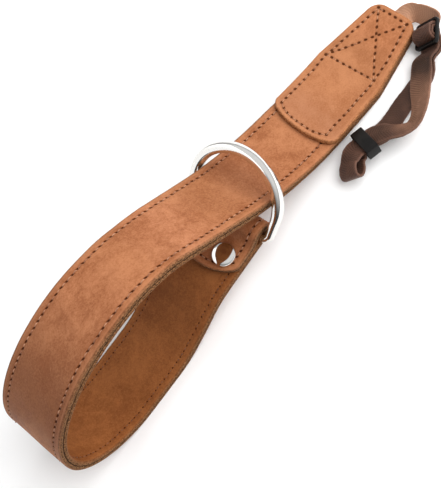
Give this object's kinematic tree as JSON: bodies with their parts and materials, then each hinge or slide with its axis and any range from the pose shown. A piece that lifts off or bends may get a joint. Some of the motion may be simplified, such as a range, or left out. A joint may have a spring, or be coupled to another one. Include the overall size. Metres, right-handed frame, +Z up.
{
  "type": "camera wrist strap",
  "caption": "Stitched leather wrist strap for a camera: a band looped through a D-ring, with an end patch, a webbing lug loop, a slider and a keeper.",
  "frame": {"origin": "middle of the strap's box in plan, on the surface that the strap lies on", "axes": "+X from the hand loop to the end of the tail, +Y to the side away from the webbing, +Z up from the surface that the tail's end and the loop's lower run lie on"},
  "size_m": [0.2318, 0.0602, 0.0742],
  "materials": {
    "tan_leather": "oiled warm cognac leather, smooth face with fine scuffs, stitched",
    "inner_leather": "darker brown leather lining, low sheen",
    "patch_leather": "lighter orange tan leather, bare face, stitched with a crossed box",
    "polished_nickel": "polished nickel plate",
    "brown_webbing": "flat dark brown nylon webbing with a fine weave",
    "black_plastic": "black moulded plastic with a satin gloss"
  },
  "bodies": {
    "strap": {"outer_leather": "tan_leather", "lining_leather": "inner_leather", "end_patch": "patch_leather", "rivet_near": "polished_nickel", "rivet_far": "polished_nickel", "webbing": "brown_webbing", "slider": "black_plastic", "keeper": "black_plastic"},
    "ring": {"d_ring": "polished_nickel"}
  },
  "joints": [
    {"name": "ring_swing", "type": "hinge", "parent": "strap", "child": "ring", "pos_m": [-0.00089, 0.00839, 0.01835], "axis": [0.0348, -0.997, -0.0698], "range_deg": [-15, 28]}
  ]
}
